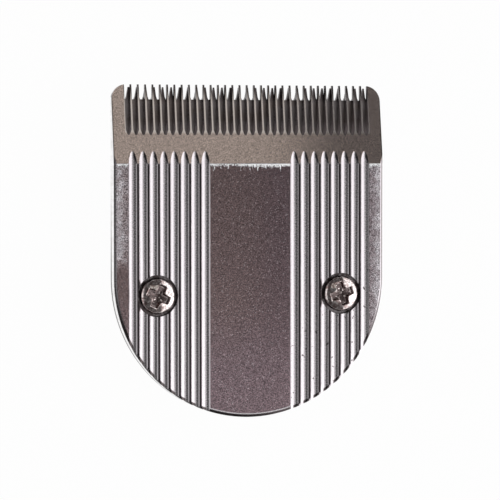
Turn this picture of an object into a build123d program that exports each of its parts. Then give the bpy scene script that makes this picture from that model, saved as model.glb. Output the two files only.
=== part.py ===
from build123d import *
import math
import os

# Hair clipper blade set, lying on its back with the ground face up and the teeth towards +Y.
# The origin is the middle of the footprint, on the plane the holder's back lies in.
# All sizes are in millimetres.

# Comb blade: the fixed blade, one ground steel plate with a round end
plate_width = 35.0
plate_length = 41.72          # tooth tips to the bottom of the round end
plate_thickness = 2.0
rim_width = 0.36              # broken edge round the flat part of the face, measured across the face
rim_drop = 0.2                # and down the side
bevel_length = 9.87           # tooth tips to the line where the flat face starts
tip_thickness = 0.35          # what the bevel leaves at the tooth tips
corner_radius = 1.9           # outer corners of the two end lugs

# Comb teeth
comb_pitch = 0.938
comb_tooth_width = 0.2
comb_slot_length = 6.29       # tooth tips to the bottom of the slots
comb_root_length = 0.65       # the slots close in over this length
comb_root_width = 0.26        # and end this wide
comb_tip_length = 0.4         # the teeth taper over this length
comb_tip_width = 0.17         # and end this wide
end_lug_least = 1.6           # least width of the solid lug at each end of the row

# Ground grooves on the face, one field each side of a plain panel
grooves_per_side = 8
groove_pitch = 1.33
groove_width = 1.16
groove_depth = 0.27
groove_margin = 1.82          # plain strip between the outermost groove and the plate's side

# Screws: pan head, cross recess
screw_margin = 5.55           # screw axis to the plate's side
screw_drop = 2.1              # screw axis below the centre of the round end
screw_diameter = 2.5
screw_length = 6.0            # under the head
screw_point = 0.5
head_diameter = 4.5
head_side = 0.8               # straight side of the head
head_height = 1.45
recess_span = 2.9             # the cross from end to end
recess_width = 0.95
recess_depth = 0.9
recess_draft = 9.0            # degrees
screw_turns = (-25.0, 18.0)   # how far each cross is turned, left and right screw, degrees
screw_hole_clearance = 0.1    # radial, in the plate
screw_fit = 0.02              # radial, in the holder's boss
counterbore_clearance = 0.35  # radial, round the head
counterbore_depth = 0.7       # the edge of the head stands just above the face

# Cutter: the moving blade, which slides on the back of the comb
cutter_pitch = 1.097
cutter_setback = 0.32         # its tips lie this far behind the comb's
cutter_depth = 12.2           # tips to rear edge
cutter_thickness = 1.1
cutter_tooth_length = 1.53
cutter_tip_width = 0.15
cutter_valley_width = 0.62    # across the gaps between its teeth, where their bottom starts to close in
cutter_valley_close = 0.36    # they close in over this length
cutter_valley_floor = 0.34    # and end this wide
cutter_bevel_length = 4.0     # bevel on its underside
cutter_tip_thickness = 0.3
cutter_shoulder = 7.0         # tips to the step where the body gets narrower
cutter_step = 3.2             # how much narrower, each side
cutter_land_front = 4.6       # ground land that runs on the comb, from the tips
cutter_land_rear = 1.8        # ground land at the rear edge
cutter_relief = 0.2           # hollow between the two lands
cutter_parked = 0.17          # it has stopped this far to the right of centre
half_stroke = 1.2             # it is driven this far each side of centre
slide_film = 0.03             # gap between the two blades' ground faces

# Driver: the plastic fork staked to the cutter
drive_slot_width = 5.0
drive_slot_depth = 5.0        # along Y, open at the rear
prong_thickness = 2.3
fork_length = 6.4             # along Y
fork_overhang = 1.4           # the fork reaches this far behind the cutter
driver_flange = 1.0           # plate of the driver under the cutter
flange_side = 3.2             # the flange reaches this far past the fork, each side
driver_lift = 0.8             # fork's foot above the holder's back
stake_diameter = 1.8
stake_fit = 0.05              # radial
fork_clearance = 0.6          # left between the fork and the spring at the end of the stroke

# Spring: one bent wire, hooked in the holder, pressing on the driver
wire_diameter = 0.8
wire_bend = 1.2               # radius on the wire's centre line
wire_to_wall = 1.0            # free space between the wire's legs and the holder
wire_end = 2.0                # how far each end goes into the window's rear wall
wire_fit = 0.05               # radial, in the holder's holes and the driver's saddle
saddle_wall = 0.32            # plastic between the saddle and the flange
saddle_lip = 0.4              # the saddle's sides reach this far past the wire's centre
saddle_length = 2.4           # along Y
anchor_height = 2.2           # where the wire meets that wall, above the holder's back

# Carrier: the moulded holder behind the comb
carrier_depth = 6.5
carrier_inset = 1.6           # it stands in from the plate's edge all round
carrier_draft = 3.0           # degrees
carrier_wall = 1.5
carrier_web = 1.6             # plate of the holder behind the comb
carrier_rear = 6.7            # round end to the window's rear wall
carrier_front_gap = 0.4       # the arms stop this far behind the cutter
arm_corner = 1.5
window_corner = 1.0
boss_diameter = 5.2
boss_recess = 0.5             # the bosses stop short of the back
rib_width = 1.0
hook_width = 10.0             # lip at the window's rear wall, which the clipper's catch holds
hook_reach = 1.2
hook_thickness = 1.2
detent_radius = 0.5           # ridges on the arms, which the clipper's snaps pass over
detent_length = 4.0
detent_height = 1.6           # above the back
detent_from_front = 2.5

# Places along Y, X and Z that follow from the sizes
plate_half = plate_width / 2
tip_y = plate_length / 2
arc_y = plate_half - plate_length / 2
bevel_y = tip_y - bevel_length
plate_back = carrier_depth
plate_top = plate_back + plate_thickness

screw_x = plate_half - screw_margin
screw_y = arc_y - screw_drop
screw_seat = plate_top - counterbore_depth
screw_spots = [(-screw_x, screw_y), (screw_x, screw_y)]

cutter_tip_y = tip_y - cutter_setback
cutter_rear_y = cutter_tip_y - cutter_depth
cutter_top = plate_back - slide_film
cutter_bottom = cutter_top - cutter_thickness

# From the drive slot outwards: fork, room for its stroke, the spring's legs, the holder's window
wire_radius = wire_diameter / 2
travel = half_stroke + cutter_parked
fork_half = drive_slot_width / 2 + prong_thickness
leg_x = fork_half + travel + fork_clearance + wire_radius
window_half = leg_x + wire_radius + wire_to_wall

carrier_half = plate_half - carrier_inset
carrier_front_y = cutter_rear_y - carrier_front_gap
window_rear_y = arc_y - carrier_half + carrier_rear

saddle_radius = wire_radius + wire_fit
fork_rear_y = cutter_rear_y - fork_overhang
fork_front_y = fork_rear_y + fork_length
flange_rear_y = cutter_rear_y + cutter_land_rear
saddle_y = fork_front_y + saddle_length / 2
saddle_z = cutter_bottom - driver_flange - saddle_wall - saddle_radius
saddle_half = leg_x - wire_bend - travel - wire_fit
stake_x = fork_half + flange_side / 2
stake_y = (flange_rear_y + saddle_y) / 2

# Tooth rows: as many slots as leave the end lugs their least width, and cutter teeth to cover them
comb_slot_width = comb_pitch - comb_tooth_width
comb_slots = int((plate_width - 2 * end_lug_least + comb_tooth_width) / comb_pitch)
toothed_width = comb_slots * comb_pitch - comb_tooth_width
cutter_teeth = round(toothed_width / cutter_pitch)
cutter_half = cutter_teeth * cutter_pitch / 2

# The groove is a circular arc of the given width and depth
groove_radius = ((groove_width / 2) ** 2 + groove_depth ** 2) / (2 * groove_depth)
groove_axis_z = plate_top + groove_radius - groove_depth
groove_outer_x = plate_half - groove_margin - groove_width / 2
groove_xs = [groove_outer_x - i * groove_pitch for i in range(grooves_per_side)]

overcut = 1.0                 # cutting bodies reach this far past what they cut

os.makedirs("parts", exist_ok=True)


def d_outline(half_width, front_y, corner):
    """The blade's D shape: straight sides, a half-round end and rounded front corners."""
    with BuildSketch() as outline:
        with BuildLine():
            Polyline(
                (half_width, arc_y), (half_width, front_y), (-half_width, front_y), (-half_width, arc_y)
            )
            ThreePointArc((-half_width, arc_y), (0, arc_y - half_width), (half_width, arc_y))
        make_face()
        fillet(outline.vertices().group_by(Axis.Y)[-1], corner)
    return outline.sketch


# One slot of the comb: parallel sides, a root that closes in and a flared mouth that points the teeth
mouth_y = tip_y - comb_tip_length
root_y = tip_y - comb_slot_length
slot_half = comb_slot_width / 2
mouth_half = (comb_pitch - comb_tip_width) / 2
with BuildSketch() as comb_slot:
    with BuildLine():
        half_slot = Polyline(
            (0, root_y),
            (comb_root_width / 2, root_y),
            (slot_half, root_y + comb_root_length),
            (slot_half, mouth_y),
            (mouth_half, tip_y),
            (mouth_half, tip_y + overcut),
            (0, tip_y + overcut),
        )
        mirror(half_slot, about=Plane.YZ)
    make_face()

with BuildPart() as comb_blade:
    extrude(Plane.XY.offset(plate_back) * d_outline(plate_half, tip_y, corner_radius), amount=plate_thickness)
    # Bevel, ground from the flat face down to the tooth tips
    bevel_drop = (plate_thickness - tip_thickness) * (bevel_length + overcut) / bevel_length
    with BuildSketch(Plane.YZ):
        with BuildLine():
            Polyline(
                (bevel_y, plate_top),
                (tip_y + overcut, plate_top),
                (tip_y + overcut, plate_top - bevel_drop),
                close=True,
            )
        make_face()
    extrude(amount=plate_width, both=True, mode=Mode.SUBTRACT)
    # Broken edge along the sides and round end of the flat face, but not along the bevel
    flat_face = comb_blade.faces().sort_by(Axis.Z)[-1]
    rim = flat_face.edges().sort_by(Axis.Y)[:-1]
    chamfer(rim, length=rim_width, length2=rim_drop, reference=flat_face)
    # Grooves, which run out where the bevel falls below their floor
    with BuildSketch(Plane.XZ):
        for side in (-1, 1):
            with Locations(*[(side * x, groove_axis_z) for x in groove_xs]):
                Circle(groove_radius)
    extrude(amount=plate_length, both=True, mode=Mode.SUBTRACT)
    with Locations(*[(x, y, plate_top) for x, y in screw_spots]):
        CounterBoreHole(
            radius=screw_diameter / 2 + screw_hole_clearance,
            counter_bore_radius=head_diameter / 2 + counterbore_clearance,
            counter_bore_depth=counterbore_depth,
            depth=plate_thickness,
        )
    with BuildSketch(Plane.XY.offset(plate_back)):
        with GridLocations(comb_pitch, 0, comb_slots, 1):
            add(comb_slot.sketch)
    extrude(amount=plate_thickness, mode=Mode.SUBTRACT)

comb_blade.part.label = "comb_blade"
export_step(comb_blade.part, "parts/comb_blade.step")


# One screw, with its seat at the origin
with BuildPart() as screw:
    with BuildSketch(Plane.XZ):
        with BuildLine():
            Polyline(
                (0, head_height),
                (0, -screw_length),
                (screw_diameter / 2 - screw_point / 2, -screw_length),
                (screw_diameter / 2, screw_point - screw_length),
                (screw_diameter / 2, 0),
                (head_diameter / 2, 0),
                (head_diameter / 2, head_side),
            )
            TangentArc((0, head_height), (head_diameter / 2, head_side), tangent=(1, 0))
        make_face()
    revolve(axis=Axis.Z)
    with BuildSketch(Plane.XY.offset(head_height)):
        Rectangle(recess_span, recess_width)
        Rectangle(recess_width, recess_span)
    extrude(amount=-recess_depth, taper=recess_draft, mode=Mode.SUBTRACT)

with BuildPart() as blade_screws:
    for (x, y), turn in zip(screw_spots, screw_turns):
        with Locations(Location((x, y, screw_seat), (0, 0, turn))):
            add(screw.part)

blade_screws.part.label = "blade_screws"
export_step(blade_screws.part, "parts/blade_screws.step")


# One gap between cutter teeth: straight flanks and a bottom that closes in
valley_mouth = (cutter_pitch - cutter_tip_width) / 2
valley_floor_y = cutter_tip_y - cutter_tooth_length
with BuildSketch() as cutter_valley:
    with BuildLine():
        half_valley = Polyline(
            (0, valley_floor_y),
            (cutter_valley_floor / 2, valley_floor_y),
            (cutter_valley_width / 2, valley_floor_y + cutter_valley_close),
            (valley_mouth, cutter_tip_y),
            (valley_mouth, cutter_tip_y + overcut),
            (0, cutter_tip_y + overcut),
        )
        mirror(half_valley, about=Plane.YZ)
    make_face()

cutter_frame = Plane((cutter_parked, 0, 0))
shoulder_y = cutter_tip_y - cutter_shoulder
with BuildPart() as cutter_blade:
    with BuildSketch(cutter_frame.offset(cutter_bottom)):
        with Locations((0, shoulder_y)):
            Rectangle(2 * cutter_half, cutter_shoulder, align=(Align.CENTER, Align.MIN))
        with Locations((0, cutter_rear_y)):
            Rectangle(2 * (cutter_half - cutter_step), cutter_depth, align=(Align.CENTER, Align.MIN))
        with GridLocations(cutter_pitch, 0, cutter_teeth + 1, 1):
            add(cutter_valley.sketch, mode=Mode.SUBTRACT)
    extrude(amount=cutter_thickness)
    # Bevel on the underside, so that the teeth are thin where they cut
    tip_rise = cutter_thickness - cutter_tip_thickness
    with BuildSketch(Plane.YZ):
        with BuildLine():
            Polyline(
                (cutter_tip_y - cutter_bevel_length, cutter_bottom),
                (cutter_tip_y, cutter_bottom + tip_rise),
                (cutter_tip_y, cutter_bottom),
                close=True,
            )
        make_face()
    extrude(amount=plate_width, both=True, mode=Mode.SUBTRACT)
    # Hollow between the two ground lands
    with BuildSketch(Plane.XY.offset(cutter_top)):
        with Locations((0, cutter_rear_y + cutter_land_rear)):
            Rectangle(
                2 * plate_width,
                cutter_depth - cutter_land_front - cutter_land_rear,
                align=(Align.CENTER, Align.MIN),
            )
    extrude(amount=-cutter_relief, mode=Mode.SUBTRACT)
    with BuildSketch(cutter_frame.offset(cutter_bottom)):
        with Locations((-stake_x, stake_y), (stake_x, stake_y)):
            Circle(stake_diameter / 2 + stake_fit)
    extrude(amount=cutter_thickness, mode=Mode.SUBTRACT)

cutter_blade.part.label = "cutter_blade"
export_step(cutter_blade.part, "parts/cutter_blade.step")


with BuildPart() as cutter_driver:
    # Flange against the cutter's underside
    with BuildSketch(cutter_frame.offset(cutter_bottom)) as flange:
        with Locations((0, flange_rear_y)):
            Rectangle(
                2 * (fork_half + flange_side),
                saddle_y + saddle_length / 2 - flange_rear_y,
                align=(Align.CENTER, Align.MIN),
            )
        fillet(flange.vertices(), window_corner)
    extrude(amount=-driver_flange)
    # Fork, with its slot open at the rear
    with BuildSketch(cutter_frame.offset(driver_lift)):
        with Locations((0, fork_rear_y)):
            Rectangle(2 * fork_half, fork_length, align=(Align.CENTER, Align.MIN))
    extrude(amount=cutter_bottom - driver_lift)
    with BuildSketch(cutter_frame.offset(driver_lift)):
        with Locations((0, fork_rear_y)):
            Rectangle(drive_slot_width, drive_slot_depth, align=(Align.CENTER, Align.MIN))
    extrude(amount=cutter_bottom - driver_lift, mode=Mode.SUBTRACT)
    # Saddle ahead of the fork, which rides along the spring's cross bar
    with BuildSketch(cutter_frame.offset(saddle_z - saddle_lip)):
        with Locations((0, saddle_y)):
            Rectangle(2 * saddle_half, saddle_length)
    extrude(amount=cutter_bottom - saddle_z + saddle_lip)
    with BuildSketch(Plane.YZ):
        with Locations((saddle_y, saddle_z)):
            Circle(saddle_radius)
            Rectangle(2 * saddle_radius, saddle_lip, align=(Align.CENTER, Align.MAX))
    extrude(amount=plate_width, both=True, mode=Mode.SUBTRACT)
    # Stakes through the cutter, ending level with its hollow
    with BuildSketch(cutter_frame.offset(cutter_bottom)):
        with Locations((-stake_x, stake_y), (stake_x, stake_y)):
            Circle(stake_diameter / 2)
    extrude(amount=cutter_thickness - cutter_relief)

cutter_driver.part.label = "cutter_driver"
export_step(cutter_driver.part, "parts/cutter_driver.step")


# The spring is a U in one plane, which falls from the saddle to the window's rear wall
spring_fall = Vector(0, window_rear_y - saddle_y, anchor_height - saddle_z)
spring_run = spring_fall.length + wire_end
leg_section = Plane(origin=(0, saddle_y, saddle_z), x_dir=(1, 0, 0), z_dir=spring_fall)
spring_plane = Plane(origin=(0, saddle_y, saddle_z), x_dir=(1, 0, 0), z_dir=leg_section.y_dir)
with BuildPart() as tension_spring:
    with BuildLine(spring_plane) as wire:
        FilletPolyline(
            (-leg_x, -spring_run), (-leg_x, 0), (leg_x, 0), (leg_x, -spring_run), radius=wire_bend
        )
    with BuildSketch(leg_section.offset(spring_run)):
        with Locations((-leg_x, 0)):
            Circle(wire_radius)
    sweep(path=wire.wire())

tension_spring.part.label = "tension_spring"
export_step(tension_spring.part, "parts/tension_spring.step")


# The holder's floor plan behind the comb: a D with a window that is open towards the teeth
back_half = carrier_half - carrier_depth * math.tan(math.radians(carrier_draft))
window_length = carrier_front_y - window_rear_y


def window_outline(margin):
    """The window, grown by a margin on its closed sides."""
    with BuildSketch() as window:
        with Locations((0, window_rear_y - margin)):
            Rectangle(
                2 * (window_half + margin),
                window_length + margin + overcut,
                align=(Align.CENTER, Align.MIN),
            )
        fillet(window.vertices().group_by(Axis.Y)[0], window_corner)
    return window.sketch


with BuildPart() as blade_carrier:
    extrude(
        Plane.XY.offset(plate_back) * d_outline(carrier_half, carrier_front_y, arm_corner),
        amount=-carrier_depth,
        taper=carrier_draft,
    )
    # Core the back out, leaving a wall round the outside and round the window
    with BuildSketch() as core:
        add(d_outline(back_half - carrier_wall, carrier_front_y - 2 * carrier_wall, window_corner))
        add(window_outline(carrier_wall), mode=Mode.SUBTRACT)
    extrude(amount=carrier_depth - carrier_web, mode=Mode.SUBTRACT)
    # Screw bosses, and ribs that tie them and the rear wall together
    with BuildSketch(Plane.XY.offset(boss_recess)):
        with Locations(*screw_spots):
            Circle(boss_diameter / 2)
        for x, y in screw_spots:
            with Locations(((math.copysign(back_half + window_half, x)) / 2, y)):
                Rectangle(back_half - window_half - carrier_wall, rib_width)
        with Locations((0, arc_y - back_half + carrier_wall / 2)):
            Rectangle(
                rib_width,
                window_rear_y - arc_y + back_half - carrier_wall,
                align=(Align.CENTER, Align.MIN),
            )
    extrude(amount=carrier_depth - boss_recess)
    extrude(window_outline(0), amount=carrier_depth, mode=Mode.SUBTRACT)
    # Lip for the clipper's catch, and the two detent ridges
    with BuildSketch():
        with Locations((0, window_rear_y - carrier_wall / 2)):
            Rectangle(hook_width, hook_reach + carrier_wall / 2, align=(Align.CENTER, Align.MIN))
    extrude(amount=hook_thickness)
    with BuildSketch(Plane.XZ.offset(detent_from_front - carrier_front_y)):
        with Locations((-window_half, detent_height), (window_half, detent_height)):
            Circle(detent_radius)
    extrude(amount=detent_length)
    # Holes for the screws and for the spring's ends
    with BuildSketch():
        with Locations(*screw_spots):
            Circle(screw_diameter / 2 + screw_fit)
    extrude(amount=carrier_depth, mode=Mode.SUBTRACT)
    with BuildSketch(leg_section):
        with Locations((-leg_x, 0), (leg_x, 0)):
            Circle(wire_radius + wire_fit)
    extrude(amount=spring_run + wire_fit, mode=Mode.SUBTRACT)

blade_carrier.part.label = "blade_carrier"
export_step(blade_carrier.part, "parts/blade_carrier.step")
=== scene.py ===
# %% [markdown]
# # A hair clipper blade
#
# The part is a small sandwich. A ground steel comb lies on top, a toothed steel cutter slides under its
# teeth, and a black plastic holder carries both. The solids come from CAD and stay as they are. This
# script gives them their ground, polished and moulded finishes, makes the two screws in fine detail,
# and sets up the light.
#
# The CAD is written in millimetres and Blender works in metres, so one value turns the one into the
# other.

# %% Load the frame
import math

import bpy
import numpy as np
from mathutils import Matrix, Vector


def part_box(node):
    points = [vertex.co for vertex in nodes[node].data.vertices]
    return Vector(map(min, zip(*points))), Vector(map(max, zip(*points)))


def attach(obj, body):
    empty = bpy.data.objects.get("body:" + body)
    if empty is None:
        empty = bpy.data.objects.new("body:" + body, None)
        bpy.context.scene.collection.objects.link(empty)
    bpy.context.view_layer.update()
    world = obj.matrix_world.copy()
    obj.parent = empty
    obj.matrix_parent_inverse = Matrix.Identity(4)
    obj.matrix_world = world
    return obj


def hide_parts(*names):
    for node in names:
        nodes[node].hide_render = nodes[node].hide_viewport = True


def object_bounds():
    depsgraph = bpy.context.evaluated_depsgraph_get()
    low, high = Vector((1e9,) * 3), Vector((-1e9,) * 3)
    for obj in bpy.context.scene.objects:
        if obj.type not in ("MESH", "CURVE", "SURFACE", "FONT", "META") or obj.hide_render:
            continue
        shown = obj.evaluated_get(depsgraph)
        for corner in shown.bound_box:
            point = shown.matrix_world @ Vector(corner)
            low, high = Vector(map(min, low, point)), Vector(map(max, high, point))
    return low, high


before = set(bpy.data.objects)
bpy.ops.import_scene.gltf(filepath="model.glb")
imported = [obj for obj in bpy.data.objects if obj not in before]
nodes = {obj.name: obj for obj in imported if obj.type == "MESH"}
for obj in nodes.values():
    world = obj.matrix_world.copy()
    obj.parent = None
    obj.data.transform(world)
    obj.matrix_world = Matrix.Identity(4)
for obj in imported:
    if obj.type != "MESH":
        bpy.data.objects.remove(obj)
cad_low, cad_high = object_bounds()
mm = 0.001
print("nodes:", ", ".join(sorted(nodes)))
print("size in mm:", [round(side / mm, 2) for side in cad_high - cad_low])

# %% [markdown]
# ## The camera
#
# The photograph looks down on the ground face from a little to the left, through a long lens. A camera
# that is not turned at all looks straight down with +Y at the top of the picture, so two small turns
# are enough: a tilt about X and a swing about Y. The lens follows from the picture's scale: how many
# pixels one unit of distance covers at one unit away.

# %% Camera
picture_width = 500
focal_pixels = 2547.0
camera_place = (-86.74 * mm, 12.1 * mm, 315.83 * mm)
camera_tilt = math.radians(-2.14)
camera_swing = math.radians(-15.75)

camera_data = bpy.data.cameras.new("camera")
camera_data.sensor_width = 36.0
camera_data.lens = focal_pixels / picture_width * camera_data.sensor_width
camera_data.clip_start = 10 * mm
camera_data.clip_end = 20.0
camera = bpy.data.objects.new("camera", camera_data)
camera.location = camera_place
camera.rotation_euler = (camera_tilt, camera_swing, 0)
bpy.context.scene.collection.objects.link(camera)
bpy.context.scene.camera = camera
bpy.context.scene.view_settings.view_transform = "Standard"
print("lens in mm:", round(camera_data.lens, 1))

# %% [markdown]
# ## Shader maths as plain arithmetic
#
# A finish is mostly small sums: a mask times a noise, one minus a mask. Drawn as nodes these sums are
# hard to read, so one class wraps a socket and lets Python's own operators add the Math nodes. Another
# wraps a node tree and has one method that makes any node: its settings come first, because they decide
# which sockets it has, and then the values or links.

# %% Sockets with operators
class Wire:
    """An output socket that can stand in a sum. Each operator adds one Math node."""

    def __init__(self, tree, socket):
        self.tree = tree
        self.socket = socket

    def maths(self, operation, *values):
        return self.tree.node("ShaderNodeMath", {"operation": operation}, dict(enumerate(values)))

    def __add__(self, other):
        return self.maths("ADD", self, other)

    def __sub__(self, other):
        return self.maths("SUBTRACT", self, other)

    def __rsub__(self, other):
        return self.maths("SUBTRACT", other, self)

    def __mul__(self, other):
        return self.maths("MULTIPLY", self, other)

    def __pow__(self, other):
        return self.maths("POWER", self, other)

    def __abs__(self):
        return self.maths("ABSOLUTE", self)

    def at_least(self, limit):
        return self.maths("MAXIMUM", self, limit)

    def at_most(self, limit):
        return self.maths("MINIMUM", self, limit)

    def wrap(self, reach):
        """The same number, brought between -reach and reach by whole turns of twice the reach."""
        return self.maths("WRAP", self, reach, -reach)

    __radd__ = __add__
    __rmul__ = __mul__


class Tree:
    """A node tree, emptied, with one method that adds a node and gives one of its outputs."""

    def __init__(self, tree):
        self.tree = tree
        tree.nodes.clear()

    def node(self, kind, settings=None, sockets=None, output=0):
        made = self.tree.nodes.new(kind)
        for name, value in (settings or {}).items():
            setattr(made, name, value)
        for key, value in (sockets or {}).items():
            if isinstance(value, Wire):
                self.tree.links.new(value.socket, made.inputs[key])
            else:
                made.inputs[key].default_value = value
        return Wire(self, made.outputs[output]) if made.outputs else made

    def split(self, vector):
        """The three numbers of a vector."""
        return [self.node("ShaderNodeSeparateXYZ", {}, {0: vector}, output=axis) for axis in range(3)]

    def step(self, value, low, high):
        """0 below low, 1 above high, and a smooth rise between them."""
        sockets = {"Value": value, "From Min": low, "From Max": high}
        return self.node("ShaderNodeMapRange", {"interpolation_type": "SMOOTHSTEP"}, sockets)

    def blend(self, share, colour_a, colour_b):
        """Colour a where share is 0 and colour b where it is 1.

        The Mix node has sockets for each kind of data. Inputs 6 and 7 and output 2 are those for colours.
        """
        sockets = {0: share, 6: colour_a, 7: colour_b}
        return self.node("ShaderNodeMix", {"data_type": "RGBA"}, sockets, output=2)


def grey(level, red=1.0, blue=1.0):
    """A grey whose red and blue are this much stronger than its green."""
    return (level * red, level, level * blue, 1.0)


print("helpers ready")

# %% [markdown]
# ## Finishes
#
# A finish is a material whose patterns are laid out in millimetres on the part, by Object coordinates,
# so a grain has its real size and stays put when the part moves. Noise gives the grain, stretched where
# a wheel or a drawing die left streaks, and a bump turns the same noise into fine relief. A step makes
# a mask: its two numbers say where the mask begins and where it is full, in millimetres for a place and
# between 0 and 1 for a noise.

# %% The finish class
class Finish(Tree):
    """A material for one kind of surface, with places on the part in millimetres."""

    def __init__(self, name):
        self.material = bpy.data.materials.new(name)
        self.material.use_nodes = True
        super().__init__(self.material.node_tree)
        place = self.node("ShaderNodeTexCoord", output="Object")
        self.place = self.node("ShaderNodeVectorMath", {"operation": "SCALE"}, {0: place, "Scale": 1 / mm})
        self.x, self.y, self.z = self.split(self.place)

    def noise(self, per_mm, detail=2.0):
        """Cloudy noise round 0.5, with this many lumps per millimetre along X, Y and Z."""
        place = self.node("ShaderNodeVectorMath", {"operation": "MULTIPLY"}, {0: self.place, 1: per_mm})
        return self.node("ShaderNodeTexNoise", {}, {"Vector": place, "Scale": 1.0, "Detail": detail})

    def relief(self, height, depth):
        """A normal roughened by a height, where 1 stands depth millimetres proud of 0."""
        return self.node("ShaderNodeBump", {}, {"Height": height, "Distance": depth * mm, "Strength": 1.0})

    def surface(self, **sockets):
        """The Principled shader. base_color is its Base Color socket, and so on."""
        named = {name.replace("_", " ").title(): value for name, value in sockets.items()}
        shader = self.node("ShaderNodeBsdfPrincipled", {}, named)
        self.node("ShaderNodeOutputMaterial", {}, {"Surface": shader})

    def put_on(self, node):
        for slot in nodes[node].material_slots:
            slot.material = self.material
        print(self.material.name, "on", node)


print("finish class ready")

# %% [markdown]
# ## The floor
#
# The photograph has a white ground with hardly a shadow on it. Lighting a floor until it burns white
# would also burn the steel, so the floor glows for the rays that look at it, straight from the camera
# or in a mirror, and is an ordinary pale floor for all others. A share of plain diffuse is kept, which
# holds the shadow.

# %% Floor
floor_half = 3.0
share_of_glow = 0.975

floor_mesh = bpy.data.meshes.new("floor")
corners = np.array([(-1, -1, 0), (1, -1, 0), (1, 1, 0), (-1, 1, 0)]) * floor_half
corners[:, 2] = cad_low.z
floor_mesh.from_pydata(corners.tolist(), [], [(0, 1, 2, 3)])
floor = bpy.data.objects.new("floor", floor_mesh)
bpy.context.scene.collection.objects.link(floor)

paper = Finish("floor_paper")
matt = paper.node("ShaderNodeBsdfDiffuse", {}, {"Color": grey(0.85)})
glow = paper.node("ShaderNodeEmission", {}, {"Color": grey(1.0), "Strength": 1.0})
camera_ray, glossy_ray, glass_ray = (
    paper.node("ShaderNodeLightPath", output=name)
    for name in ("Is Camera Ray", "Is Glossy Ray", "Is Transmission Ray")
)
looked_at = camera_ray + glossy_ray + glass_ray
sheet = paper.node("ShaderNodeMixShader", {}, {0: looked_at * share_of_glow, 1: matt, 2: glow})
paper.node("ShaderNodeOutputMaterial", {}, {"Surface": sheet})
floor_mesh.materials.append(paper.material)
print("floor at z =", round(cad_low.z, 5))

# %% [markdown]
# ## The light
#
# Polished steel shows what stands round it, so its light and dark stripes are made by the room. The
# room here is a soft studio painted as a function of direction: a white side on the right, which
# whitens every wall that faces it, as the left walls of the grooves do, and a grey overhead, brighter
# towards the near end and dark at the far end. The left is dark above a pale wall. A warm card beyond
# the teeth lights the bevel, and ends short of the right side, where the bevel falls off into the dark.
# Lamps alone could do all this, but each would have hard edges in the steel, and a painted room has
# soft ones. A direction has length one, so its part to the right is 0 overhead and 1 level with the
# floor.

# %% Room
world = bpy.data.worlds.new("studio")
bpy.context.scene.world = world
world.use_nodes = True
room = Tree(world.node_tree)
right, ahead, up = room.split(room.node("ShaderNodeTexCoord", output="Generated"))
white_side = room.step(right, 0.35, 0.46)
overhead = room.step(right, -0.35, 0.2) * (1 - 0.36 * room.step(right, 0.245, 0.295))
left_wall = room.step(0 - right, 0.68, 0.95)
near_end = room.step(0 - ahead, 0.03, 0.13) * (1 - room.step(0 - ahead, 0.35, 0.6))
behind = room.step(0 - ahead, 0.5, 0.75)
far_end = room.step(ahead, 0.1, 0.26)
skirting = 1 - room.step(up, 0.0, 0.08)
ceiling = 0.18 * overhead * (1 - 0.9 * far_end) * (1 - 0.75 * behind) * (1 + 7.0 * near_end)
level = 0.1 + 1.2 * white_side + ceiling
level = level + 0.9 * left_wall + 0.4 * skirting * (1 - white_side)
sky = room.node("ShaderNodeBackground", {}, {"Color": grey(1.0), "Strength": level})
room.node("ShaderNodeOutputWorld", {}, {"Surface": sky})
print("room painted")

# %% Card beyond the teeth
def soft_box(name, place, aim, size, radiance, colour):
    """A rectangular lamp, all in millimetres.

    Its radiance is a quarter of its power per area in Cycles, so the power follows from the radiance.
    """
    lamp = bpy.data.lights.new(name, "AREA")
    lamp.shape = "RECTANGLE"
    lamp.size, lamp.size_y = (side * mm for side in size)
    lamp.energy = 4 * radiance * lamp.size * lamp.size_y
    lamp.color = colour
    box = bpy.data.objects.new(name, lamp)
    box.location = [part * mm for part in place]
    towards = np.subtract(aim, place)
    flat = math.hypot(towards[0], towards[1])
    box.rotation_euler = (math.atan2(flat, -towards[2]), 0, math.atan2(-towards[0], towards[1]))
    box.visible_camera = False
    bpy.context.scene.collection.objects.link(box)
    print(name, "power in W:", round(lamp.energy, 3))


soft_box(
    "bevel_card",
    place=(-3, 95, 210),
    aim=(-3, 15, 8),
    size=(152, 70),
    radiance=0.285,
    colour=(1.0, 0.98, 0.9),
)

# %% [markdown]
# ## Comb steel
#
# The comb is one plate of steel with several finishes: a dark satin face, bright grooves, a bevel as
# the wheel left it and a sheared side. It could be cut up, with a material for each piece, but the
# plate is one piece, so the finishes are zones of one material. A zone is found from the place on the
# plate. How far a point lies below the skin, which is the flat face or the bevel, tells a groove, a
# slot or a hole from what is beside it.

# %% The skin of the plate
plate_half, tip_y, plate_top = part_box("comb_blade")[1] / mm
arc_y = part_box("comb_blade")[0].y / mm + plate_half
plate_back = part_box("comb_blade")[0].z / mm
tip_thickness = 0.35
bevel_length = 9.87
bevel_y = tip_y - bevel_length
bevel_slope = (plate_top - plate_back - tip_thickness) / bevel_length

comb = Finish("comb_steel")
on_bevel = comb.step(comb.y, bevel_y - 0.05, bevel_y + 0.05)
fall = (comb.y - bevel_y) * bevel_slope
depth = plate_top - fall.at_least(0.0) - comb.z
on_skin = 1 - comb.step(depth, 0.008, 0.02)
on_flat = on_skin * (1 - on_bevel)
print("plate thickness:", round(plate_top - plate_back, 3))
print("bevel starts at y =", round(bevel_y, 2), "and the round end at y =", round(arc_y, 2))
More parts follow.
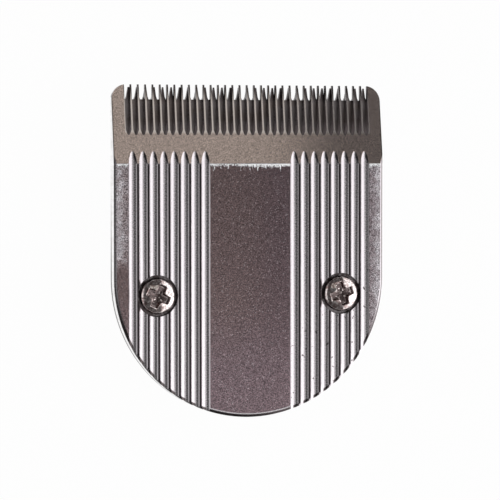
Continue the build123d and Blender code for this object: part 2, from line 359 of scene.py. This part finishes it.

# %% [markdown]
# ### Grooves and lands
#
# A shaped wheel ground each groove as a round channel. The narrow lands left between them are painted
# nearly black, as painted shade, and on the left half the walls that face right are kept free of it to
# the top. Where a groove runs out on the bevel, the wall that faces left is painted dark at its end, as
# painted shade. Each groove could have its own mask, but they are evenly spaced, so wrapping X by their
# pitch folds all of them onto one, and tells a left wall from a right one.

# %% Grooves and lands
panel_half = 5.25
margin_width = 1.82
margin_x = plate_half - margin_width
groove_pitch = 1.33
groove_width = 1.16
groove_x = margin_x - groove_width / 2
slot_length = 6.29
root_y = tip_y - slot_length

on_right = comb.step(comb.x, -1.0, 1.0)
on_margin = comb.step(abs(comb.x), margin_x - 0.05, margin_x + 0.05)
in_rows = comb.step(abs(comb.x), panel_half, panel_half + 0.1) * (1 - on_margin)
in_field = in_rows * (1 - on_bevel)
outwards = (abs(comb.x) - groove_x).wrap(groove_pitch / 2)
off_centre = outwards * (2 * on_right - 1)
# Painted shade: the lands are painted nearly black; on the left half the walls that face right are kept out
# of it.
unshaded_wall = comb.step(0 - off_centre, 0.08, 0.27) * (1 - on_right)
on_land = in_field * (1 - comb.step(depth + 0.03 * unshaded_wall, 0.05, 0.09))
faces_left = comb.step(off_centre, 0.015, 0.12)
# Painted shade: the end of each groove's left-facing wall on the bevel is painted dark.
runout_shade = in_rows * on_bevel * faces_left * (1 - on_skin) * (1 - comb.step(depth, 0.1, 0.18))
runout_shade = runout_shade * (1 - comb.step(comb.y, root_y - 0.4, root_y - 0.2))
print("groove fields from x =", panel_half, "to x =", round(margin_x, 2))

# %% [markdown]
# ### Side, rim, teeth and screw seats
#
# The plate was blanked in a press. Its side is bright where the punch sheared it, and painted nearly
# black below, as painted shade. The rim round the face is broken and painted dark, as shade, except where
# the inner half of a groove runs out, and a thin worn line lies inside it at the round end. One distance
# finds all of these: from the middle line along the straight sides, and from the middle of the arc at the
# round end. The slots between the teeth and the seats of the screws are found from their own places in
# the same way.

# %% Side and rim
rim_width = 0.36
flat_ends = plate_half - rim_width


def length(across, along):
    """How far a point lies from a middle, by Pythagoras."""
    return (across * across + along * along) ** 0.5


from_middle = length(comb.x, (comb.y - arc_y).at_most(0.0))
round_end = comb.step(arc_y - comb.y, 0.0, 8.0)
on_side = comb.step(from_middle, plate_half - 0.03, plate_half - 0.01) * comb.step(depth, 0.17, 0.2)
# Painted shade: the lower part of the plate's side is painted nearly black.
lower_side_shade = 1 - comb.step(comb.z, plate_back + 0.5, plate_back + 0.7)
lower_side_shade = lower_side_shade * comb.step(bevel_y - comb.y, 0.0, 16.0)
rim_inside = plate_half - 0.2 - 0.15 * round_end
# Painted shade: the rim round the face is painted dark, less where a groove's inner half runs out.
on_rim = comb.step(from_middle, rim_inside - 0.05, rim_inside + 0.05) * (1 - on_skin) * (1 - on_side)
on_rim = on_rim * (1 - 0.9 * in_rows * comb.step(0 - outwards, 0.0, 0.2))
rim_shine = comb.step(from_middle, flat_ends - 0.16, flat_ends - 0.08) * round_end * (1 - on_margin)
# Painted shade: a dark line along the sides of the bevel.
bevel_edge_shade = on_bevel * comb.step(from_middle, plate_half - 0.16, plate_half - 0.06)
print("flat face ends", rim_width, "mm inside the plate's side")

# %% Teeth and screw seats
lug_x = 15.9
screw_low, screw_high = (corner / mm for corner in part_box("blade_screws"))
head_radius = (screw_high.y - screw_low.y) / 2
screw_x = screw_high.x - head_radius
screw_y = (screw_high.y + screw_low.y) / 2
head_clearance = 0.35
counterbore_radius = head_radius + head_clearance

off_lugs = 1 - comb.step(abs(comb.x), lug_x, lug_x + 0.1)
in_slot = (1 - on_skin) * off_lugs * comb.step(comb.y, root_y - 0.1, root_y + 0.1)
on_teeth = on_skin * off_lugs * comb.step(comb.y, root_y, root_y + 0.5)
at_tips = comb.step(comb.y, tip_y - 2.4, tip_y - 1.3)
on_tips = off_lugs * comb.step(comb.y, tip_y - 2.4, tip_y - 0.5)
from_screw = length(abs(comb.x) - screw_x, comb.y - screw_y)
near_screw = 1 - comb.step(from_screw, counterbore_radius, counterbore_radius + 0.03)
in_counterbore = near_screw * (1 - on_skin)
print("screws at x =", round(screw_x, 2), "y =", round(screw_y, 2))

# %% [markdown]
# ### Grain and wear
#
# The satin has a grain of about a tenth of a millimetre, with a few bright specks. Rubbing has
# brightened the plain margins beside the grooves, and a ragged line where the bevel meets the face, and
# there are some dark pits low on the right. Painted images could show this, but noise that is stretched
# and cut off at a level gives each mark its real size, and the same noises serve colour, roughness and
# relief.

# %% Grain
per_mm = 9.5
fine = comb.noise((per_mm, per_mm, per_mm), detail=1.0)
speckle = comb.step(fine, 0.38, 0.62)
wheel_marks = comb.step(comb.noise((13.0, per_mm, 13.0), detail=1.0), 0.38, 0.62)
sparkle = comb.step(comb.noise((7.0, 7.0, 7.0), detail=0.0), 0.64, 0.78)
mottle = comb.noise((1.6, 1.6, 1.6), detail=4.0)
clouds = comb.noise((0.18, 0.1, 0.18), detail=2.0)
streaks = comb.noise((9.0, 0.25, 9.0), detail=3.0)
shear_marks = comb.noise((1.5, 1.5, 0.2), detail=4.0)
print("grain of the face per mm:", per_mm)

# %% Wear
scratches = comb.step(comb.noise((5.0, 0.7, 5.0), detail=2.0), 0.54, 0.76)
pits = comb.step(comb.noise((2.6, 2.6, 2.6), detail=0.0), 0.77, 0.8)
pits = pits * in_field * comb.step(comb.x - comb.y, 14.0, 20.0)
left_worn = comb.step(comb.y + 2.4 * mottle + 0.5 * speckle, -0.6, 1.2)
towards_edge = 0.45 + 0.55 * comb.step(abs(comb.x), margin_x + 0.2, plate_half - 0.5)
worn_margin = on_margin * towards_edge * (left_worn + on_right - left_worn * on_right)
rag = 0.7 * (mottle - 0.5) + 0.25 * (speckle - 0.5) + 0.8 * scratches + 0.12 * on_right
ragged = comb.step(comb.y + rag, bevel_y - 0.27, bevel_y - 0.12)
wear = worn_margin * (0.45 + 0.75 * comb.step(mottle, 0.35, 0.65)) + 0.3 * sparkle
print("worn margins and ragged edge found")

# %% [markdown]
# ### Steel of each zone
#
# Metal takes its colour from what it reflects, so a Metallic of 1 and a grey Base Color are enough, and
# the grey says how much comes back. The satin is dark and slightly brown, cooler and darker to the right,
# where the darkening is painted shade, and paler towards the round end. Bare steel is bright, and grime is
# nearly black; the same near black is painted as shade in the slots, on the rim, in the screw seats and
# along the bevel's sides. A coat of dirt and shade could be a second shader, but one shader whose colour
# is laid over in turn, from the widest zone to the smallest, is easier to follow.

# %% Flat face
warm_satin = comb.blend(speckle, grey(0.073, 1.38, 1.0), grey(0.19, 1.38, 1.0))
# Painted shade: this cooler satin is also darker, and it covers the right of the face.
cool_shaded_satin = comb.blend(speckle, grey(0.057, 1.38, 1.08), grey(0.158, 1.38, 1.08))
pale_satin = comb.blend(speckle, grey(0.06, 1.36, 1.1), grey(0.215, 1.36, 1.1))
drift = 6 * (clouds - 0.5)
dark_satin = comb.blend(comb.step(comb.x + drift, -4.0, 5.0), warm_satin, cool_shaded_satin)
dark_satin = comb.blend(comb.step(drift - comb.y, 5.0, 16.0), dark_satin, pale_satin)
worn_steel = comb.blend(speckle, grey(0.1, 1.12, 1.08), grey(0.74, 1.06, 1.05))
edge_steel = grey(0.98, 1.0, 1.02)
flat_colour = comb.blend(wear, dark_satin, worn_steel)
flat_colour = comb.blend(ragged + 0.4 * rim_shine, flat_colour, edge_steel)
print("flat face coloured")

# %% Bevel and bare steel
# Near black, used for grime and for painted shade.
grime_and_painted_shade = grey(0.05, 1.25, 1.0)
bevel_steel = comb.blend(wheel_marks, grey(0.28, 1.22, 0.93), grey(0.7, 1.22, 0.93))
bevel_steel = comb.blend(on_teeth, bevel_steel, grey(0.85, 1.1, 0.97))
# The tooth tips are darkened, and the bevel's sides take painted shade.
bevel_colour = comb.blend(0.95 * on_tips + 0.7 * bevel_edge_shade, bevel_steel, grime_and_painted_shade)
ground_steel = comb.blend(streaks, grey(0.54, 1.08, 1.04), grey(0.68, 1.06, 1.04))
side_steel = comb.blend(comb.step(shear_marks, 0.3, 0.7), grey(0.84, 1.02, 1.0), grey(1.0))
side_steel = comb.blend(lower_side_shade, side_steel, grey(0.05, 1.06, 1.0))
# Painted shade: the counterbore round each screw head is painted dark.
seat_shade = in_counterbore * (0.8 + 0.2 * comb.step(mottle, 0.42, 0.58))
# Painted shade on the rim, darker at the round end.
rim_shade = (0.7 + 0.25 * round_end) * on_rim
# Painted shade: the slots between the teeth are painted dark, more towards the tips.
slot_shade = in_slot * (0.35 + 0.6 * at_tips)
# The pits are real; the rest of this darkening is painted shade.
pits_and_painted_shade = seat_shade + rim_shade + slot_shade + 0.9 * pits
bare_colour = comb.blend(pits_and_painted_shade, comb.blend(on_side, ground_steel, side_steel), grime_and_painted_shade)
print("bevel and bare steel coloured")

# %% The finished comb
# Painted shade: the near-black colour of the lands and of the groove ends.
land_shade = grey(0.03, 1.2, 1.1)
skin_colour = comb.blend(on_bevel, flat_colour, bevel_colour)
steel_colour = comb.blend(on_skin, bare_colour, skin_colour)
roughness = 0.2 + on_flat * (0.12 * worn_margin + 0.1 * ragged) - 0.08 * on_bevel * on_skin
rubbing = 0.4 + on_flat * (0.8 + 5.0 * worn_margin + 25.0 * ragged)
comb.surface(
    base_color=comb.blend(on_land + 0.9 * runout_shade, steel_colour, land_shade),
    metallic=1.0,
    roughness=roughness + 0.05 * (speckle - 0.5) + 0.06 * (1 - on_skin),
    normal=comb.relief(fine * rubbing + 0.8 * streaks * (1 - on_skin), 0.004),
)
comb.put_on("comb_blade")

# %% [markdown]
# ## The screws
#
# Two cross-recess screws hold the comb down. The CAD screws have the right head and recess, but plain
# shanks and sharp edges, and bright metal shows its edges before anything else. Bevels could round
# them, but a screw is one surface of two parameters, the angle round its axis and the way along its
# outline. So it is worked out here as one grid: the floor and walls of the cross, a rounded lip, the
# domed head with a rounded shoulder, the seat, and the thread down to the point. An attribute marks the
# hollow of the cross, where the finish paints shade.

# %% Rings of a screw
columns = 160
angle = np.linspace(0, 2 * np.pi, columns, endpoint=False)


def share(count):
    """A column of shares from 0 up to, but without, 1, because the next stretch starts there."""
    return np.linspace(0, 1, count, endpoint=False)[:, None]


def stretch(radius, height, hollow=0.0):
    """A stretch of the outline: radius, height above the seat and hollow, for each ring and angle."""
    return np.stack(np.broadcast_arrays(radius, height, hollow, angle)[:3])


print("columns round a screw:", columns)

# %% [markdown]
# ### The cross recess
#
# A punch pressed the cross into the head, and its draft left walls that lean outwards. A boolean cut
# could make it, but its edges would be sharp and its faces uneven. Here the edge of the cross is a
# distance from the axis for each angle, so the rings of the grid simply take on its shape, from the
# floor up to the lip.

# %% The cross recess
head_side = 0.8
head_height = 1.45
dome_rise = head_height - head_side
dome_radius = (head_radius ** 2 + dome_rise ** 2) / (2 * dome_rise)
recess_span = 2.9
recess_width = 1.0
recess_core = 0.82
recess_depth = 0.9
recess_dip = 0.2
recess_draft = math.radians(9.0)
corner_power = 14
lip = 0.11
innermost = 0.08


def dome(radius):
    """Height of the head's round top: a sphere that is level at the axis."""
    return head_height - dome_radius + np.sqrt(dome_radius ** 2 - radius ** 2)


def cross(shrink):
    """Distance from the axis to the edge of the cross, by angle.

    It is the nearer of an arm's end and an arm's side, and no nearer than the round core of the punch. High
    powers take the nearer and the farther one, and round the corners between them.
    """
    from_arm = np.abs((angle + np.pi / 4) % (np.pi / 2) - np.pi / 4)
    to_end = (recess_span / 2 - shrink) / np.cos(from_arm)
    to_side = (recess_width / 2 - shrink) / np.maximum(np.sin(from_arm), 0.001)
    arms = (to_end ** -corner_power + to_side ** -corner_power) ** (-1 / corner_power)
    return (arms ** corner_power + (recess_core - shrink) ** corner_power) ** (1 / corner_power)


mouth = cross(0.0)
floor_edge = cross(recess_depth * math.tan(recess_draft))
floor_height = head_height - recess_depth
lip_height = dome(mouth + lip)
out = share(8)
floor_ring = (innermost + (1 - innermost) * out) * floor_edge
recess_floor = stretch(floor_ring, floor_height - recess_dip * (1 - out) ** 2, 1.0)
wall_rise = lip_height - lip - floor_height
recess_wall = stretch(floor_edge + out * (mouth - floor_edge), floor_height + out * wall_rise, 0.3)
roll = share(5) * np.pi / 2
recess_lip = stretch(mouth + lip * (1 - np.cos(roll)), lip_height + lip * (np.sin(roll) - 1))
print("dome radius in mm:", round(dome_radius, 2))

# %% [markdown]
# ### The head and the shank
#
# The head is cold-formed, a low dome that rolls over into a straight side, and the thread is rolled
# onto the shank. The dome and its shoulder are two arcs that share a tangent, so the reflection runs
# round the edge without a crease. A modifier could wind the thread, but a radius that changes with
# height and angle keeps it in the same grid.

# %% The head and the shank
shoulder = 0.7
screw_radius = 1.25
screw_length = 6.0
screw_point = 0.5
thread_pitch = 0.45
thread_depth = 0.24
thread_start = 0.2
thread_growth = 0.5
thread_end = 0.3

shoulder_tilt = math.asin((head_radius - shoulder) / (dome_radius - shoulder))
dome_edge = dome_radius * math.sin(shoulder_tilt)
side_height = dome(dome_edge) - shoulder * math.cos(shoulder_tilt)
out = mouth + lip + share(14) * (dome_edge - mouth - lip)
head_top = stretch(out, dome(out))
tilt = shoulder_tilt + share(7) * (np.pi / 2 - shoulder_tilt)
head_shoulder = stretch(head_radius + shoulder * (np.sin(tilt) - 1), side_height + shoulder * np.cos(tilt))
head_wall = stretch(head_radius, side_height * (1 - share(3)))
head_seat = stretch(head_radius + share(3) * (screw_radius - head_radius), 0.0)


def thread(height):
    """Radius of the shank: a ridge that climbs one pitch a turn, and fades out at both ends."""
    phase = (height / thread_pitch - angle / (2 * np.pi)) % 1
    valley = np.abs(2 * phase - 1)
    fade_in = np.clip((-height - thread_start) / thread_growth, 0, 1)
    fade_out = np.clip((height + screw_length - screw_point) / thread_end, 0, 1)
    return screw_radius - thread_depth * valley * fade_in * fade_out


down = -share(120) * (screw_length - screw_point)
shank = stretch(thread(down), down)
end = np.linspace(0, 1, 4)[:, None]
point = stretch(screw_radius - end * screw_point / 2, (1 - end) * screw_point - screw_length)
recess = [recess_floor, recess_wall, recess_lip]
head = [head_top, head_shoulder, head_wall, head_seat]
radius, height, hollow = np.concatenate(recess + head + [shank, point], axis=1)
print("rings along a screw:", len(radius))

# %% [markdown]
# ### The two screws
#
# A fitter stops turning when a screw is tight, so no two crosses point the same way. Both screws are
# one object here, as in the CAD model, and it takes the place of the CAD screws in the picture. Each is
# the same grid, turned about its axis and put on its seat, with a fan of triangles to close each end.

# %% The two screws
screw_turns = (-25.0, 18.0)
crease = math.radians(35)
seat_z = screw_low.z + screw_length


def screw_points(middle_x, turn):
    """The grid turned about its axis and put on its seat, and then its two poles, in metres."""
    turned = angle + math.radians(turn)
    x = np.append(radius * np.cos(turned), [0, 0]) + middle_x
    y = np.append(radius * np.sin(turned), [0, 0]) + screw_y
    z = np.append(height, [height[0, 0], height[-1, 0]]) + seat_z
    return np.stack([x, y, z], axis=1) * mm


here = np.arange(radius.size).reshape(radius.shape)
beside = np.roll(here, -1, axis=1)
quads = np.stack([here[:-1], here[1:], beside[1:], beside[:-1]], axis=-1).reshape(-1, 4)
top_pole = np.full(columns, radius.size)
top_fan = np.stack([top_pole, here[0], beside[0]], axis=1)
low_fan = np.stack([top_pole + 1, beside[-1], here[-1]], axis=1)
points = np.concatenate([screw_points(-screw_x, screw_turns[0]), screw_points(screw_x, screw_turns[1])])
second = radius.size + 2
faces = []
for part in (quads, top_fan, low_fan):
    faces += np.concatenate([part, part + second]).tolist()

screw_mesh = bpy.data.meshes.new("fine_screws")
screw_mesh.from_pydata(points.tolist(), [], faces)
screw_mesh.polygons.foreach_set("use_smooth", np.ones(len(faces), bool))
screw_mesh.set_sharp_from_angle(angle=crease)
one_screw = np.append(hollow, [1.0, 0.0])
screw_mesh.attributes.new("hollow", "FLOAT", "POINT").data.foreach_set("value", np.tile(one_screw, 2))
fine_screws = bpy.data.objects.new("fine_screws", screw_mesh)
bpy.context.scene.collection.objects.link(fine_screws)
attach(fine_screws, "holder")
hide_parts("blade_screws")
print("fine_screws faces:", len(faces))

# %% [markdown]
# ## Screw steel
#
# The screws are plated, and have been handled and oiled since. The plating has patches of brown tarnish,
# with specks of dirt, and faint scuffs where a driver has slipped. Over that, the right of each head is
# painted bright and the left dark brown, as painted light and shade. The cross and the head below the
# comb's face are painted dark, as shade, with bright flakes in the cross as painted glints. One spotless
# plating would show the room as a single smooth shape, so the colour and the roughness vary over the head
# and break the reflection up.

# %% Screw steel
plating = Finish("screw_steel")
in_cross = plating.node("ShaderNodeAttribute", {"attribute_name": "hollow"}, output="Fac")
on_right_screw = plating.step(plating.x, -1.0, 1.0)
off_axis = plating.x - screw_x * (2 * on_right_screw - 1)
# Painted light and shade: the right of each screw head is painted bright, its left darker.
painted_lit_side = plating.step(off_axis, 0.3, 1.1)
untarnished = plating.step(plating.noise((2.6, 2.6, 2.6), detail=5.0), 0.36, 0.62)
# Both the real untarnished patches and the painted light of the right side.
clean_and_painted_lit = untarnished.at_least(painted_lit_side)
grain = plating.noise((9.0, 9.0, 9.0), detail=2.0)
scuffs = plating.step(plating.noise((12.0, 1.2, 3.0), detail=2.0), 0.58, 0.7)
# Painted glints: bright flakes in the cross, which also raise its relief.
glint_flakes = plating.step(plating.noise((3.0, 3.0, 3.0), detail=2.0), 0.58, 0.68)
specks = plating.step(plating.noise((3.6, 3.6, 3.6), detail=3.0), 0.5, 0.58)
# Painted shade: the head below the comb's face, down in its counterbore, is painted dark.
below_face = 1 - plating.step(plating.z, plate_top - 0.35, plate_top - 0.1)
plate_colour = plating.blend(clean_and_painted_lit, grey(0.27, 1.42, 0.96), grey(0.88, 1.1, 0.98))
plate_colour = plating.blend(0.6 * specks, plate_colour, grey(0.2, 1.3, 0.98))
painted_shade_with_glints = plating.blend(glint_flakes, grey(0.1, 1.3, 0.98), grey(0.85, 1.12, 0.98))
# Painted shade: the hollow of the cross and the head below the face take the dark colour.
cross_and_seat_shade = in_cross + 0.85 * below_face
plating.surface(
    base_color=plating.blend(cross_and_seat_shade, plate_colour, painted_shade_with_glints),
    metallic=1.0,
    roughness=0.14 - 0.08 * clean_and_painted_lit + 0.12 * scuffs + 0.2 * in_cross,
    normal=plating.relief(0.6 * grain + 0.5 * scuffs + 3.0 * glint_flakes * in_cross, 0.006),
)
screw_mesh.materials.append(plating.material)
plating.put_on("blade_screws")

# %% [markdown]
# ## Cutter steel
#
# The cutter is ground along its travel, so its streaks run from side to side, under a film of oil. Its
# heel, under the roots of the comb's slots, is painted bright, as painted light against the shade there,
# and it is darker towards its tips. It is seen only between the comb's teeth, and a flat grey would do for
# that, but the part is also looked at from behind, so it has streaks, oil and pores of its own.

# %% Cutter steel
cutter = Finish("cutter_steel")
travel_streaks = cutter.noise((0.3, 8.0, 8.0), detail=3.0)
oil = cutter.step(cutter.noise((0.35, 0.35, 0.35), detail=3.0), 0.42, 0.62)
pores = cutter.step(cutter.noise((6.0, 6.0, 6.0), detail=1.0), 0.66, 0.74)
ground = cutter.blend(travel_streaks, grey(0.16, 1.14, 1.0), grey(0.24, 1.1, 1.0))
oiled = cutter.blend(travel_streaks, grey(0.13, 1.22, 0.94), grey(0.2, 1.18, 0.94))
# Painted light: the cutter is painted bright under the roots of the slots, where it lies in shade.
painted_light_at_roots = 1 - cutter.step(cutter.y, root_y + 0.2, root_y + 2.0)
cutter_tips = cutter.step(cutter.y, tip_y - 2.4, tip_y - 1.3)
cutter_colour = cutter.blend(painted_light_at_roots, cutter.blend(oil, ground, oiled), grey(0.55, 1.1, 1.0))
cutter_colour = cutter.blend(0.85 * cutter_tips, cutter_colour, grime_and_painted_shade)
cutter.surface(
    base_color=cutter.blend(0.5 * pores, cutter_colour, grey(0.1, 1.3, 0.9)),
    metallic=1.0,
    roughness=0.36 + 0.12 * (travel_streaks - 0.5) - 0.06 * oil,
    normal=cutter.relief(travel_streaks - 0.5 * pores, 0.004),
)
cutter.put_on("cutter_blade")

# %% [markdown]
# ## Spring wire
#
# The spring is hard drawn wire, bright with bluish brown patches from the heat that set its bends.
# Streaks along the wire would need a map that follows it. The wire is thin, so an even fine grain in
# place of streaks looks the same.

# %% Spring wire
wire = Finish("spring_steel")
drawn = wire.noise((5.0, 5.0, 5.0), detail=3.0)
blueing = wire.noise((0.4, 0.4, 0.4), detail=3.0)
bright_wire = wire.blend(drawn, grey(0.42, 1.02, 1.02), grey(0.62, 1.02, 1.0))
wire.surface(
    base_color=wire.blend(wire.step(blueing, 0.4, 0.7), bright_wire, grey(0.3, 1.12, 0.92)),
    metallic=1.0,
    roughness=0.2 + 0.14 * drawn,
    normal=wire.relief(drawn, 0.004),
)
wire.put_on("tension_spring")

# %% [markdown]
# ## Acetal fork
#
# The fork is natural acetal, a milky plastic that yellows with age and is polished where it rubs. Light
# that goes in and comes out again could make it milky, but on so small a piece a cloudy pale colour is
# enough.

# %% Acetal fork
acetal = Finish("driver_plastic")
milky = acetal.noise((0.5, 0.5, 0.5), detail=3.0)
mould = acetal.noise((11.0, 11.0, 11.0), detail=2.0)
rubbed = acetal.step(acetal.noise((0.8, 3.0, 0.8), detail=3.0), 0.56, 0.7)
acetal_colour = acetal.blend(milky, grey(0.6, 1.05, 0.9), grey(0.74, 1.03, 0.93))
acetal.surface(
    base_color=acetal.blend(0.35 * rubbed, acetal_colour, grey(0.38, 1.06, 0.9)),
    roughness=0.4 + 0.12 * mould - 0.12 * rubbed,
    normal=acetal.relief(mould, 0.008),
)
acetal.put_on("cutter_driver")

# %% [markdown]
# ## Nylon holder
#
# The holder is black nylon from a mould with an eroded, finely pitted surface, which shows as a soft
# grain when light grazes it. The pits are too small and too many for geometry, so they are a relief in
# the finish, with faint flow marks and a little dust.

# %% Nylon holder
nylon = Finish("carrier_plastic")
eroded = nylon.noise((7.0, 7.0, 7.0), detail=3.0)
flow = nylon.noise((0.3, 0.12, 0.3), detail=3.0)
dust = nylon.step(nylon.noise((2.2, 2.2, 2.2), detail=4.0), 0.55, 0.8)
nylon_colour = nylon.blend(flow, grey(0.012, 1.0, 1.06), grey(0.026, 1.0, 1.04))
nylon.surface(
    base_color=nylon.blend(0.3 * dust, nylon_colour, grey(0.12, 1.03, 0.97)),
    roughness=0.42 + 0.16 * eroded + 0.1 * dust,
    normal=nylon.relief(eroded, 0.014),
)
nylon.put_on("blade_carrier")
